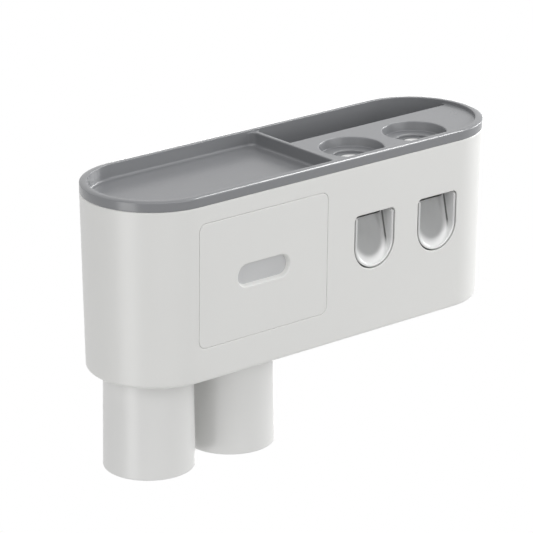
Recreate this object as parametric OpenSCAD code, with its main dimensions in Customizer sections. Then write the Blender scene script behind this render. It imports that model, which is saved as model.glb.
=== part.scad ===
// Wall-hung toothpaste dispenser: an obround bathroom organiser with a storage tray on top,
// a drawer, two press dispensers fed from inverted tubes, and two cups held by magnets below.
// X runs along the wall, +Y points into the wall and +Z is up.
// The origin is on the wall, behind the middle of the body.

/* [Body] */
// Length of the body along the wall
body_w = 299; // [285:1:330]
// Depth of the body, front to back
body_d = 90; // [86:1:100]
// Height of the body with the tray's rim
body_h = 119; // [114:1:135]
// Thickness of the shell's walls
wall_t = 2.6; // [2:0.1:3]
// Thickness of the shell's floor
floor_t = 2.6; // [2:0.1:4]
// How much each wall leans in from the rim down to the floor
draft = 1.8; // [0.6:0.1:2.4]

/* [Top tray] */
// Height of the tray's rim above the shell
rim_h = 6.3; // [5:0.1:8]
// Width of the rim seen from above
rim_w = 4.8; // [4:0.1:6]
// Thickness of the tray's sheet
tray_t = 2; // [1.6:0.1:2.4]
// Depth of the storage pan
pan_depth = 9.7; // [8.5:0.1:11]
// Place of the divider's left face along X
divider_x = 4.8; // [3:0.2:6]
// Thickness of the divider
divider_t = 3; // [2.4:0.1:4]
// Drop from the rim to the divider's top
divider_drop = 1; // [0.4:0.1:1.4]
// Radius of the pan's corners beside the divider
pan_r = 5; // [3:0.5:8]
// Drop from the rim to the platform that holds the tube seats
platform_drop = 2; // [1.8:0.1:2.4]
// Distance from the body's middle plane back to the phone slot
slot_y = 9.3; // [9:0.1:12]
// Depth of the phone slot
slot_depth = 48; // [30:1:50]
// Wall thickness of the phone slot
slot_t = 1.5; // [1.2:0.1:1.8]
// Gap between the tray's skirt and the shell
skirt_gap = 0.3; // [0.2:0.05:0.4]

/* [Tube seats] */
// Distance from the body's middle plane forward to the tube seats
seat_y = 21.3; // [20.8:0.1:22]
// Radius of a seat at the platform
seat_r = 20.8; // [20:0.1:21.2]
// Radius of a seat at its foot
seat_foot_r = 18.8; // [18:0.1:20]
// Depth of a seat
seat_depth = 5.8; // [4.5:0.1:6]
// Radius of the step in a seat's floor
step_r = 11.4; // [10:0.1:14]
// Depth of the step
step_depth = 1.6; // [0.6:0.1:1.8]
// Outer radius of the inlet seal
seal_r = 8; // [7:0.1:9]
// Radius of the inlet that takes the tube's nozzle
inlet_r = 3; // [2.5:0.1:3.6]

/* [Drawer] */
// Width of the drawer's face
face_w = 99.7; // [90:0.1:101]
// Height of the drawer's face
face_h = 78.9; // [74:0.1:79.5]
// Place of the face's middle along X
face_x = -54.9; // [-56:0.1:-54]
// Drop from the rim to the face's top edge
face_drop = 17.9; // [17:0.1:18.5]
// Corner radius of the face
face_r = 5; // [4:0.1:6]
// Thickness of the face where the shell is widest
face_t = 4; // [3.6:0.1:5]
// Gap all round the face
face_gap = 0.4; // [0.3:0.05:0.5]
// Width of the finger pull
pull_w = 40.9; // [30:0.1:50]
// Height of the finger pull
pull_h = 14.5; // [12:0.1:20]
// Depth of the finger pull
pull_depth = 9; // [7:0.1:11]
// Wall thickness of the finger pull
pull_t = 1.6; // [1.2:0.1:2]
// Height of the drawer's box
box_h = 52; // [30:1:58]
// Wall thickness of the box
box_t = 1.8; // [1.4:0.1:2.4]
// Inset of the box from the face's opening
box_inset = 2; // [1.8:0.1:2.6]
// Distance from the body's middle plane back to the box's rear
box_rear = 33; // [24:0.5:33.4]
// Thickness of the bay that the drawer slides in
bay_t = 1.9; // [1.4:0.1:2]
// Height of the bay's side walls
bay_h = 40; // [20:1:60]
// Width of a runner
runner_w = 6; // [4:0.1:10]
// Sliding gap under and behind the box
slide_gap = 0.4; // [0.3:0.05:0.5]

/* [Dispensers] */
// Place of the middle between the two dispensers along X
pump_mid_x = 60.4; // [60:0.1:61]
// Distance between the two dispensers
pump_pitch = 52.6; // [52:0.1:54]
// Width of a window
window_w = 33.4; // [30:0.1:35]
// Height of a window
window_h = 37.2; // [35:0.1:40]
// Drop from the rim to a window's top edge
window_drop = 38.9; // [38:0.1:41]
// Radius of a window's upper corners
window_r = 3.5; // [2:0.1:4]
// Gap round a push scoop
scoop_gap = 0.4; // [0.35:0.05:0.5]
// Thickness of a push scoop's side walls
scoop_t = 1.6; // [1.4:0.1:2]
// Thickness of a push scoop's back
scoop_back_t = 1.8; // [1.4:0.1:2.2]
// Depth of a push scoop at its top
scoop_top_d = 12.7; // [11:0.1:13]
// Depth of a push scoop at its bottom
scoop_low_d = 2.4; // [1.8:0.1:3.4]
// Radius of the hinge pin
pin_r = 1.5; // [1.2:0.05:1.8]
// Height of the pin above a window's top edge
pin_rise = 4.4; // [4.2:0.1:5]
// Distance of the pin behind the body's front
pin_back = 6.8; // [6.7:0.1:7.2]
// Outer radius of a scoop's hinge eye
eye_r = 3.2; // [2.8:0.1:3.3]
// Running gap between the pin and the eye
pin_gap = 0.06; // [0.04:0.01:0.09]
// Half width of the pump's column and arm
pump_half_w = 12; // [10:0.1:12.4]
// Radius of the squeeze bulb
bulb_r = 7.4; // [6:0.1:7.4]
// Wall thickness of the squeeze bulb
bulb_t = 1.4; // [1:0.1:2]
// Radius of the outlet valve
valve_r = 2.8; // [2.2:0.1:2.9]
// Length of the outlet valve
valve_len = 12; // [10:0.1:12.4]
// Thickness of the pump's flange
flange_t = 3; // [2.4:0.1:4]
// Shank radius of a pump screw
screw_r = 1.5; // [1.2:0.05:1.6]
// Head radius of a pump screw
screw_head_r = 2.8; // [2.5:0.1:3.2]
// Head height of a pump screw
screw_head_t = 1.8; // [1.4:0.1:2.4]

/* [Cups] */
// Place of the middle between the two cups along X
cup_mid_x = -79; // [-81:0.1:-78]
// Distance between the two cups
cup_pitch = 63.8; // [62:0.1:66]
// How far the cups hang below the body
cup_drop = 64.3; // [50:0.1:90]
// Radius of a cup at its drinking rim
cup_rim_r = 28.7; // [28:0.1:30]
// Radius of a cup at its closed end
cup_base_r = 27.5; // [26:0.1:27.8]
// Wall thickness of a cup
cup_t = 1.8; // [1.4:0.1:2.4]
// Thickness of a cup's closed end
cup_base_t = 3; // [2.4:0.1:4]
// Depth of a cup's socket in the body
socket_depth = 14; // [10:0.1:14.4]
// Radius of a cup's socket
socket_r = 28.4; // [28.2:0.1:29]
// Wall thickness of a socket
socket_t = 2; // [1.6:0.1:2]
// Gap above a seated cup
seat_gap = 0.4; // [0.3:0.05:0.6]
// Radius of a magnet
magnet_r = 9; // [6:0.1:12]
// Thickness of a magnet
magnet_t = 2.5; // [1.5:0.1:2.8]
// Radius of a cup's steel disc
disc_r = 12; // [8:0.1:16]
// Thickness of a cup's steel disc
disc_t = 1; // [0.6:0.1:1.4]
// Gap round a magnet or a disc in its pocket
pocket_gap = 0.1; // [0.06:0.02:0.2]

/* [Wall plate] */
// Width of the wall plate
plate_w = 150; // [140:1:200]
// Height of the wall plate
plate_h = 50; // [46:1:70]
// Thickness of the wall plate
plate_t = 3; // [2.4:0.1:4]
// Corner radius of the wall plate
plate_r = 8; // [4:0.5:12]
// Thickness of the adhesive pad
pad_t = 1; // [0.6:0.1:2]
// Margin of the adhesive pad inside the plate
pad_margin = 4; // [2:0.5:8]
// Gap between the plate and the body
hang_gap = 0.4; // [0.3:0.05:0.8]
// Distance of each hook from the middle along X
hook_x = 60; // [50:1:66]
// Height of the hooks above the plate's middle
hook_z = 1.5; // [0:0.1:2]
// Radius of a hook's neck
neck_r = 3; // [2.5:0.1:4]
// Radius of a hook's head
head_r = 5.5; // [5:0.1:6.5]
// Thickness of a hook's head
head_t = 2.2; // [1.6:0.1:2.4]
// Lift that frees the body from the hooks
lift = 14; // [12.5:0.1:18]
// Gap round a hook in its keyhole
hook_gap = 0.4; // [0.3:0.05:0.6]
// Radius of a wall bumper
bumper_r = 6; // [4:0.1:8]
// Distance of each bumper from the middle along X
bumper_x = 90; // [80:1:95]
// Height of the bumpers above the floor
bumper_z = 14; // [12:0.5:30]

/* [Hidden] */

// Curves are drawn with this many sides
$fn = 96;
// A small overlap for cuts
eps = 1;
half_d = body_d / 2;
arc_x = body_w / 2 - half_d;
top_z = body_h / 2;
floor_z = -body_h / 2;
shell_z = top_z - rim_h;
mid_y = -(pad_t + plate_t + hang_gap + half_d);
front_y = mid_y - half_d;
back_y = mid_y + half_d;

// Distance that a wall has leant in at height z
function lean(z) = draft * (shell_z - z) / (shell_z - floor_z);
// Half depth inside the shell at height z
function inner_half(z) = half_d - lean(z) - wall_t;

tray_low_z = top_z - pan_depth - tray_t;
skirt_inset = wall_t + skirt_gap;
slot_low_z = top_z - slot_depth;
slot_out_inset = skirt_inset + lean(slot_low_z - slot_t);
slot_inset = max(rim_w, slot_out_inset + slot_t);
slot_x = divider_x + divider_t;

pump_xs = [pump_mid_x - pump_pitch / 2, pump_mid_x + pump_pitch / 2];
seat_cy = mid_y - seat_y;
seat_floor_z = top_z - platform_drop - seat_depth;
seal_top_z = seat_floor_z - step_depth;

face_top_z = top_z - face_drop;
face_mid_z = face_top_z - face_h / 2;
face_back_y = front_y + face_t;
open_w = face_w + 2 * face_gap;
open_h = face_h + 2 * face_gap;
bay_floor_z = face_mid_z - open_h / 2;
bay_low_z = bay_floor_z - bay_t;
bay_front_y = mid_y - inner_half(bay_low_z) + 0.8;
box_low_z = bay_floor_z + box_inset;
box_w = open_w - 2 * box_inset;
box_back_y = mid_y + box_rear;
bay_back_y = box_back_y + slide_gap;
runner_x = box_w / 2 - runner_w;

window_top_z = top_z - window_drop;
window_half = window_w / 2;
window_arc_z = window_top_z - window_h + window_half;
scoop_top_z = window_top_z - scoop_gap;
scoop_low_z = window_top_z - window_h + scoop_gap;
pin_z = window_top_z + pin_rise;
pin_y = front_y + pin_back;
ear_in = window_half - scoop_gap - scoop_t;
ear_out = window_half - scoop_gap;
pump_top_z = tray_low_z;
arm_top_z = pump_top_z - flange_t;
arm_low_z = pin_z + eye_r + 1.8;
arm_front_y = mid_y - inner_half(arm_low_z) + 0.6;
column_front_y = front_y + 18;
column_back_y = column_front_y + 13;
flange_back_y = mid_y + slot_y - tray_t - 0.8;
bulb_z = window_arc_z + 1.4;
column_low_z = bulb_z - bulb_r - 1.2;
valve_y = pin_y + pin_r + valve_r + 0.7;
valve_top_z = arm_low_z + 3;
cheek_in = pump_half_w - 3;
cheek_half = pin_r + 1.5;
screw_dx = 9;
screw_y = flange_back_y - 4.5;
boss_r = 4;
channel_r = inlet_r - 0.4;
screw_len = 8;

cup_xs = [cup_mid_x - cup_pitch / 2, cup_mid_x + cup_pitch / 2];
cup_low_z = floor_z - cup_drop;
cup_top_z = floor_z + socket_depth - seat_gap;
cup_len = cup_top_z - cup_low_z;
ceiling_t = 2;
ceiling_z = floor_z + socket_depth + ceiling_t;
magnet_top_z = ceiling_z + magnet_t;
ring_r = magnet_r + 2.5;

plate_front_y = -(pad_t + plate_t);
neck_end_y = mid_y + inner_half(hook_z - lift - head_r) - 0.4;
bumper_cz = floor_z + bumper_z;

// Flat obround of the body's plan, drawn in from its edge
module plan(inset) {
    translate([-arc_x, 0]) circle(r = half_d - inset);
    translate([arc_x, 0]) circle(r = half_d - inset);
    square([2 * arc_x, 2 * (half_d - inset)], center = true);
}

// Upright obround block of the plan between two heights
module plan_block(inset, z0, z1) {
    translate([0, mid_y, z0]) linear_extrude(z1 - z0) plan(inset);
}

// Leaning body between two heights, drawn in from its walls
module leaning(inset, z0, z1) {
    low = half_d - inset - lean(z0);
    high = half_d - inset - lean(z1);
    for (side = [-1, 1])
        translate([side * arc_x, mid_y, z0]) cylinder(h = z1 - z0, r1 = low, r2 = high);
    translate([-arc_x, mid_y, 0])
        rotate([90, 0, 90])
            linear_extrude(2 * arc_x)
                polygon([[-low, z0], [low, z0], [high, z1], [-high, z1]]);
}

// Flat rectangle with round corners
module round_rect(w, h, r) {
    square([w - 2 * r, h], center = true);
    square([w, h - 2 * r], center = true);
    for (x = [-1, 1], y = [-1, 1])
        translate([x * (w / 2 - r), y * (h / 2 - r)]) circle(r = r);
}

// Flat obround lying along X
module obround(w, h) {
    square([w - h, h], center = true);
    for (side = [-1, 1])
        translate([side * (w - h) / 2, 0]) circle(r = h / 2);
}

// Stands a flat XZ drawing up at y0 and thickens it towards the wall
module along_y(y0, len) {
    translate([0, y0 + len, 0]) rotate([90, 0, 0]) linear_extrude(len) children();
}

// Stands a flat YZ drawing up at x0 and thickens it along X
module along_x(x0, len) {
    translate([x0, 0, 0]) rotate([90, 0, 90]) linear_extrude(len) children();
}

// Round bar along Y
module bar_y(x, z, y0, len, r) {
    translate([x, y0 + len, z]) rotate([90, 0, 0]) cylinder(h = len, r = r);
}

// Flat outline of a window: round below, with small upper corners
module window_shape(x, inset) {
    r = window_half - inset;
    corner = window_r;
    top = window_top_z - inset;
    translate([x, window_arc_z]) circle(r = r);
    translate([x - r, window_arc_z]) square([2 * r, top - corner - window_arc_z]);
    translate([x - r + corner, window_arc_z]) square([2 * (r - corner), top - window_arc_z]);
    for (side = [-1, 1])
        translate([x + side * (r - corner), top - corner]) circle(r = corner);
}

// Flat outline of a keyhole in the back wall
module keyhole(x) {
    slot = neck_r + hook_gap;
    translate([x, hook_z]) circle(r = slot);
    translate([x - slot, hook_z - lift]) square([2 * slot, lift]);
    translate([x, hook_z - lift]) circle(r = head_r + hook_gap);
}

module housing() {
    color("whitesmoke")
    difference() {
        union() {
            difference() {
                leaning(0, floor_z, shell_z);
                leaning(wall_t, floor_z + floor_t, shell_z + eps);
            }
            for (x = cup_xs) {
                translate([x, mid_y, floor_z])
                    cylinder(h = socket_depth + ceiling_t, r = socket_r + socket_t);
                translate([x, mid_y, ceiling_z]) cylinder(h = magnet_t, r = ring_r);
            }
            for (side = [-1, 1])
                bar_y(side * bumper_x, bumper_cz, back_y - draft - wall_t, draft + wall_t, bumper_r + 1);
        }
        for (x = cup_xs) {
            translate([x, mid_y, floor_z - eps]) cylinder(h = socket_depth + eps, r = socket_r);
            translate([x, mid_y, ceiling_z])
                cylinder(h = magnet_t + eps, r = magnet_r + pocket_gap);
        }
        along_y(front_y - eps, 2 * eps + draft + wall_t)
            translate([face_x, face_mid_z]) round_rect(open_w, open_h, face_r + face_gap);
        for (x = pump_xs)
            along_y(front_y - eps, 2 * eps + draft + wall_t) window_shape(x, 0);
        for (side = [-1, 1])
            along_y(back_y - draft - wall_t - eps, draft + wall_t + 2 * eps) keyhole(side * hook_x);
    }
}

// Everything in the plan to the right of x0, between two insets of depth
module right_part(inset, x0, y0) {
    intersection() {
        plan(inset);
        translate([x0, y0]) square([body_w, body_d * 2]);
    }
}

// Flat outline of the storage pan: round at the left, with two round corners beside the divider
module pan_shape() {
    inner = half_d - rim_w;
    translate([-arc_x, 0]) circle(r = inner);
    translate([-arc_x, -inner]) square([arc_x + divider_x - pan_r, 2 * inner]);
    translate([-arc_x, pan_r - inner]) square([arc_x + divider_x, 2 * (inner - pan_r)]);
    for (side = [-1, 1])
        translate([divider_x - pan_r, side * (inner - pan_r)]) circle(r = pan_r);
}

// Seats, slot walls and screw bosses that stay solid under the platform
module tray_solids() {
    for (x = pump_xs) {
        translate([x, seat_cy, tray_low_z - 2 * eps])
            cylinder(h = pan_depth + 2 * eps, r = seat_r + tray_t);
        for (side = [-1, 1])
            translate([x + side * screw_dx, screw_y, tray_low_z - 2 * eps])
                cylinder(h = pan_depth + 2 * eps, r = boss_r);
    }
    translate([0, mid_y, tray_low_z - 2 * eps])
        linear_extrude(pan_depth + 2 * eps)
            right_part(0, slot_x - tray_t, slot_y - tray_t);
}

// Cut for one tube seat, its step and its inlet
module seat_cut(x) {
    translate([x, seat_cy, seat_floor_z])
        cylinder(h = seat_depth, r1 = seat_foot_r, r2 = seat_r);
    translate([x, seat_cy, top_z - platform_drop]) cylinder(h = platform_drop + eps, r = seat_r);
    translate([x, seat_cy, seal_top_z]) cylinder(h = step_depth + eps, r = step_r);
    translate([x, seat_cy, tray_low_z - eps])
        cylinder(h = seal_top_z - tray_low_z + 2 * eps, r = seal_r + pocket_gap);
    for (side = [-1, 1])
        translate([x + side * screw_dx, screw_y, tray_low_z - eps])
            cylinder(h = screw_len - flange_t + eps + 0.5, r = screw_r + pocket_gap);
}

module top_tray() {
    color("gray")
    difference() {
        union() {
            plan_block(0, shell_z, top_z);
            plan_block(skirt_inset, tray_low_z, shell_z);
            translate([0, mid_y, slot_low_z - slot_t])
                linear_extrude(slot_depth)
                    right_part(slot_out_inset, slot_x - tray_t, slot_y - tray_t);
        }
        plan_block(rim_w, top_z - divider_drop, top_z + eps);
        translate([0, mid_y, top_z - pan_depth]) linear_extrude(pan_depth + eps) pan_shape();
        translate([0, mid_y, top_z - platform_drop])
            linear_extrude(platform_drop + eps) right_part(rim_w, slot_x, -body_d);
        translate([0, mid_y, slot_low_z])
            linear_extrude(slot_depth + eps) right_part(slot_inset, slot_x, slot_y);
        difference() {
            translate([0, mid_y, tray_low_z - eps])
                linear_extrude(top_z - platform_drop - tray_t - tray_low_z + eps)
                    right_part(skirt_inset + tray_t, slot_x, -body_d);
            tray_solids();
        }
        for (x = pump_xs)
            seat_cut(x);
    }
}

// Three-sided bay on the magnet caps, open at the front and on top
module drawer_bay() {
    color("gainsboro")
    difference() {
        translate([face_x - open_w / 2 - bay_t, bay_front_y, bay_low_z])
            cube([open_w + 2 * bay_t, bay_back_y + bay_t - bay_front_y, bay_h]);
        translate([face_x - open_w / 2, bay_front_y - eps, bay_floor_z])
            cube([open_w, bay_back_y - bay_front_y + eps, bay_h]);
    }
}

module runner(side) {
    color("silver")
    translate([face_x + side * runner_x - runner_w / 2, bay_front_y, bay_floor_z])
        cube([runner_w, box_back_y - bay_front_y, box_inset - slide_gap]);
}

module drawer_front() {
    color("whitesmoke")
    difference() {
        union() {
            intersection() {
                leaning(0, floor_z, shell_z);
                along_y(front_y - eps, face_t + eps)
                    translate([face_x, face_mid_z]) round_rect(face_w, face_h, face_r);
            }
            along_y(front_y + face_t - eps, pull_depth + pull_t - face_t + eps)
                translate([face_x, face_mid_z]) obround(pull_w + 2 * pull_t, pull_h + 2 * pull_t);
        }
        along_y(front_y - eps, pull_depth + eps)
            translate([face_x, face_mid_z]) obround(pull_w, pull_h);
    }
}

module drawer_box() {
    color("gainsboro")
    difference() {
        translate([face_x - box_w / 2, face_back_y, box_low_z])
            cube([box_w, box_back_y - face_back_y, box_h]);
        translate([face_x - box_w / 2 + box_t, face_back_y - eps, box_low_z + box_t])
            cube([box_w - 2 * box_t, box_back_y - face_back_y - box_t + eps, box_h]);
    }
}

module inlet_seal(x) {
    color("white")
    translate([x, seat_cy, tray_low_z])
        difference() {
            cylinder(h = seal_top_z - tray_low_z, r = seal_r);
            translate([0, 0, -eps]) cylinder(h = seal_top_z - tray_low_z + 2 * eps, r = inlet_r);
        }
}

// Bracket with the paste channel, the pin's cheeks and the face for the bulb
module pump_body(x) {
    color("gainsboro")
    difference() {
        union() {
            translate([x - pump_half_w - 3, column_front_y - 3, arm_top_z])
                cube([2 * pump_half_w + 6, flange_back_y - column_front_y + 3, flange_t]);
            translate([x - pump_half_w, column_front_y, column_low_z])
                cube([2 * pump_half_w, column_back_y - column_front_y, arm_top_z - column_low_z]);
            translate([x - pump_half_w, arm_front_y, arm_low_z])
                cube([2 * pump_half_w, column_front_y - arm_front_y, arm_top_z - arm_low_z]);
            for (side = [-1, 1])
                translate([x + side * (cheek_in + pump_half_w) / 2, pin_y, (pin_z - cheek_half + arm_low_z) / 2])
                    cube([pump_half_w - cheek_in, 2 * cheek_half, arm_low_z - pin_z + cheek_half], center = true);
        }
        translate([x, seat_cy, bulb_z]) cylinder(h = pump_top_z - bulb_z + eps, r = channel_r);
        bar_y(x, bulb_z, column_front_y - eps, seat_cy - column_front_y + eps, channel_r);
        translate([x, valve_y, arm_low_z - eps]) cylinder(h = valve_top_z - arm_low_z + eps, r = valve_r + pocket_gap);
        translate([x, valve_y, arm_low_z]) cylinder(h = arm_top_z - arm_low_z - 3, r = 1.5);
        bar_y(x, arm_top_z - 4.5, valve_y, seat_cy - valve_y, 1.5);
        along_x(x - body_d / 2, body_d) translate([pin_y, pin_z]) circle(r = pin_r + 0.03);
        for (side = [-1, 1])
            translate([x + side * screw_dx, screw_y, arm_top_z - eps])
                cylinder(h = flange_t + 2 * eps, r = screw_r + 0.2);
    }
}

// Half ball of silicone on the column's front
module pump_bulb(x) {
    color("white")
    translate([x, column_front_y, bulb_z])
        difference() {
            sphere(r = bulb_r);
            sphere(r = bulb_r - bulb_t);
            translate([-2 * bulb_r, 0, -2 * bulb_r]) cube(4 * bulb_r);
        }
}

module outlet_valve(x) {
    color("white")
    translate([x, valve_y, valve_top_z - valve_len])
        difference() {
            cylinder(h = valve_len, r = valve_r);
            translate([0, 0, -eps]) cylinder(h = valve_len + 2 * eps, r = 1.5);
        }
}

module hinge_pin(x) {
    color("silver")
    along_x(x - ear_out, 2 * ear_out) translate([pin_y, pin_z]) circle(r = pin_r);
}

// Side profile of the scoop's hollow or of its outside, set back by a thickness
module scoop_side(back) {
    slope = (scoop_top_d - scoop_low_d) / window_h;
    rise = 2 * eps;
    polygon([
        [front_y - 2 * eps, window_top_z + rise],
        [front_y + scoop_top_d + back + slope * rise, window_top_z + rise],
        [front_y + scoop_low_d + back - slope * rise, window_top_z - window_h - rise],
        [front_y - 2 * eps, window_top_z - window_h - rise]
    ]);
}

// Clear scoop in a window: round below, leaning back, with two hinge eyes
module push_scoop(x) {
    color("lightgray")
    difference() {
        union() {
            intersection() {
                leaning(scoop_gap, floor_z, shell_z);
                along_y(front_y - eps, scoop_top_d + scoop_back_t + 3) window_shape(x, scoop_gap);
                along_x(x - window_half, window_w) scoop_side(scoop_back_t);
            }
            for (side = [-1, 1])
                along_x(side > 0 ? x + ear_in : x - ear_out, scoop_t) {
                    translate([pin_y, pin_z]) circle(r = eye_r);
                    polygon([
                        [pin_y - eye_r, pin_z],
                        [pin_y + eye_r, pin_z],
                        [pin_y + eye_r, scoop_top_z - window_r - 1],
                        [pin_y - eye_r, scoop_top_z - window_r - 1]
                    ]);
                }
        }
        intersection() {
            along_y(front_y - 2 * eps, scoop_top_d + 4) {
                window_shape(x, scoop_gap + scoop_t);
                translate([x - ear_in, window_arc_z]) square([2 * ear_in, window_half + 2 * window_h]);
            }
            along_x(x - window_half, window_w) scoop_side(0);
        }
        translate([x - valve_r - 1.4, front_y, valve_top_z - valve_len - 2.6])
            cube([2 * valve_r + 2.8, scoop_top_d + 2 * scoop_back_t, window_h]);
        along_x(x - window_half - eps, window_w + 2 * eps)
            translate([pin_y, pin_z]) circle(r = pin_r + pin_gap);
    }
}

module pump_screws() {
    color("silver")
    for (x = pump_xs, side = [-1, 1])
        translate([x + side * screw_dx, screw_y, arm_top_z]) {
            translate([0, 0, -screw_head_t]) cylinder(h = screw_head_t, r = screw_head_r);
            cylinder(h = screw_len, r = screw_r);
        }
}

// Cup hung with its closed end up
module cup(x) {
    slope = (cup_base_r - cup_rim_r) / cup_len;
    color("white")
    translate([x, mid_y, cup_low_z])
        difference() {
            cylinder(h = cup_len, r1 = cup_rim_r, r2 = cup_base_r);
            translate([0, 0, -eps])
                cylinder(h = cup_len - cup_base_t + eps,
                    r1 = cup_rim_r - cup_t - slope * eps,
                    r2 = cup_base_r - cup_t - slope * cup_base_t);
            translate([0, 0, cup_len - disc_t]) cylinder(h = disc_t + eps, r = disc_r + pocket_gap);
        }
}

module cup_disc(x) {
    color("silver")
    translate([x, mid_y, cup_top_z - disc_t]) cylinder(h = disc_t, r = disc_r);
}

module magnet(x) {
    color("dimgray")
    translate([x, mid_y, ceiling_z]) cylinder(h = magnet_t, r = magnet_r);
}

// Cap that the bay's floor holds down on a magnet
module magnet_cap(x) {
    color("gainsboro")
    translate([x, mid_y, magnet_top_z]) cylinder(h = bay_low_z - magnet_top_z, r = ring_r);
}

module wall_plate() {
    color("gainsboro") {
        along_y(plate_front_y, plate_t) round_rect(plate_w, plate_h, plate_r);
        for (side = [-1, 1]) {
            bar_y(side * hook_x, hook_z, neck_end_y, plate_front_y - neck_end_y, neck_r);
            bar_y(side * hook_x, hook_z, neck_end_y - head_t, head_t, head_r);
        }
    }
}

module adhesive_pad() {
    color("dimgray")
    along_y(-pad_t, pad_t)
        round_rect(plate_w - 2 * pad_margin, plate_h - 2 * pad_margin, plate_r - pad_margin / 2);
}

module wall_bumper(side) {
    color("gray")
    bar_y(side * bumper_x, bumper_cz, back_y, -back_y, bumper_r);
}

housing();
top_tray();
drawer_bay();
runner(-1);  // runner_left
runner(1);  // runner_right
drawer_front();
drawer_box();
inlet_seal(pump_xs[0]);  // inlet_seal_left
inlet_seal(pump_xs[1]);  // inlet_seal_right
pump_body(pump_xs[0]);  // pump_body_left
pump_body(pump_xs[1]);  // pump_body_right
pump_bulb(pump_xs[0]);  // pump_bulb_left
pump_bulb(pump_xs[1]);  // pump_bulb_right
outlet_valve(pump_xs[0]);  // outlet_valve_left
outlet_valve(pump_xs[1]);  // outlet_valve_right
hinge_pin(pump_xs[0]);  // hinge_pin_left
hinge_pin(pump_xs[1]);  // hinge_pin_right
push_scoop(pump_xs[0]);  // push_scoop_left
push_scoop(pump_xs[1]);  // push_scoop_right
pump_screws();
cup(cup_xs[0]);  // cup_left
cup(cup_xs[1]);  // cup_right
cup_disc(cup_xs[0]);  // cup_disc_left
cup_disc(cup_xs[1]);  // cup_disc_right
magnet(cup_xs[0]);  // magnet_left
magnet(cup_xs[1]);  // magnet_right
magnet_cap(cup_xs[0]);  // magnet_cap_left
magnet_cap(cup_xs[1]);  // magnet_cap_right
wall_plate();
adhesive_pad();
wall_bumper(-1);  // wall_bumper_left
wall_bumper(1);  // wall_bumper_right
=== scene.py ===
import math
import bmesh
import bpy
import numpy as np
from mathutils.geometry import delaunay_2d_cdt
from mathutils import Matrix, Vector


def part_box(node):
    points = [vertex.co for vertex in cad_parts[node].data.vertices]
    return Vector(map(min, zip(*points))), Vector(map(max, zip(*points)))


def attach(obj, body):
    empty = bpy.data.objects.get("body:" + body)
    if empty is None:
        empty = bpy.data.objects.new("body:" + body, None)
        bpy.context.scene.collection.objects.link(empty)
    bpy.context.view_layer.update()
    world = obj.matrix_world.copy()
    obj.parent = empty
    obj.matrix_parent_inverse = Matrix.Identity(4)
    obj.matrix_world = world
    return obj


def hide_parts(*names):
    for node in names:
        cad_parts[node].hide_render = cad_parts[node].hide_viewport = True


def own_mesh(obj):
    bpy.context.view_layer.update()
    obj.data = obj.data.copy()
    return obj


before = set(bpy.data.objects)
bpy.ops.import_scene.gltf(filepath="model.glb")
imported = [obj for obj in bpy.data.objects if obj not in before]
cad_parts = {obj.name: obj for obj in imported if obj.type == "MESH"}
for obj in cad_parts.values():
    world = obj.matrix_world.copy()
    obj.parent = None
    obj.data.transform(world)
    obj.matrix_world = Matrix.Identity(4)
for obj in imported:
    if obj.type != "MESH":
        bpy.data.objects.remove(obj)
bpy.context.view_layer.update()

# Camera
# The photograph looks from the front left and a little above, with a long lens and no roll.
# Place and lens come from a camera fitted to the outlines of the body, the rim and the cups.
# Lengths are in metres, and the lens in millimetres.
VIEW_AZIMUTH = math.radians(-39.477)
VIEW_ELEVATION = math.radians(19.682)
VIEW_DISTANCE = 1.84899
VIEW_RIGHT = -0.013089
VIEW_UP = -0.074838
LENS = 201.09
body_middle = (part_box("top_tray")[0][1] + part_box("top_tray")[1][1]) / 2
rim_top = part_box("top_tray")[1][2]
towards = np.array([math.sin(VIEW_AZIMUTH) * math.cos(VIEW_ELEVATION),
                    -math.cos(VIEW_AZIMUTH) * math.cos(VIEW_ELEVATION), math.sin(VIEW_ELEVATION)])
rightwards = np.array([math.cos(VIEW_AZIMUTH), math.sin(VIEW_AZIMUTH), 0.0])
upwards = np.cross(towards, rightwards)
camera = bpy.data.objects.new("camera", bpy.data.cameras.new("camera"))
camera.data.lens = LENS
camera.location = (np.array([0, body_middle, rim_top]) + towards * VIEW_DISTANCE
                   + rightwards * VIEW_RIGHT + upwards * VIEW_UP)
camera.rotation_euler = (math.pi / 2 - VIEW_ELEVATION, 0, VIEW_AZIMUTH)
bpy.context.scene.collection.objects.link(camera)
bpy.context.scene.camera = camera
bpy.context.scene.view_settings.view_transform = "Standard"


# Studio
# White air, and soft boxes that stand where the pale and the dark bands on the round ends say that
# they stood; box_rim draws the bright line on the rim. Air that is looked at or mirrored is plain
# white, and the light that it sheds is weaker.
BOX_AWAY = 1.6
AIR_STRENGTH = 0.25


def soft_box(name, azimuth, elevation, width, height, power):
    """Area lamp on a ball round the object, turned to face its middle. Angles are in degrees, from
    the front towards the right and up; sizes are in metres and the power in watts."""
    a, e = math.radians(azimuth), math.radians(elevation)
    lamp = bpy.data.objects.new(name, bpy.data.lights.new(name, "AREA"))
    lamp.data.shape = "RECTANGLE"
    lamp.data.size, lamp.data.size_y = width, height
    lamp.data.energy = power
    lamp.location = (BOX_AWAY * math.sin(a) * math.cos(e),
                     body_middle - BOX_AWAY * math.cos(a) * math.cos(e), BOX_AWAY * math.sin(e))
    lamp.rotation_euler = (math.pi / 2 - e, 0, a)
    bpy.context.scene.collection.objects.link(lamp)


soft_box("box_front", 20, 22, 1.3, 1.2, 11.2)
soft_box("box_left", -80, -15, 0.7, 0.8, 6)
soft_box("box_side", -72, 32, 0.8, 0.8, 4.5)
soft_box("box_right", 86, 12, 0.9, 0.8, 18.5)
soft_box("box_back", 135, -15, 0.8, 0.8, 8)
soft_box("box_top", -20, 80, 1.0, 1.0, 6.5)
soft_box("box_rim", 118, 46, 0.4, 0.4, 5)

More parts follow.
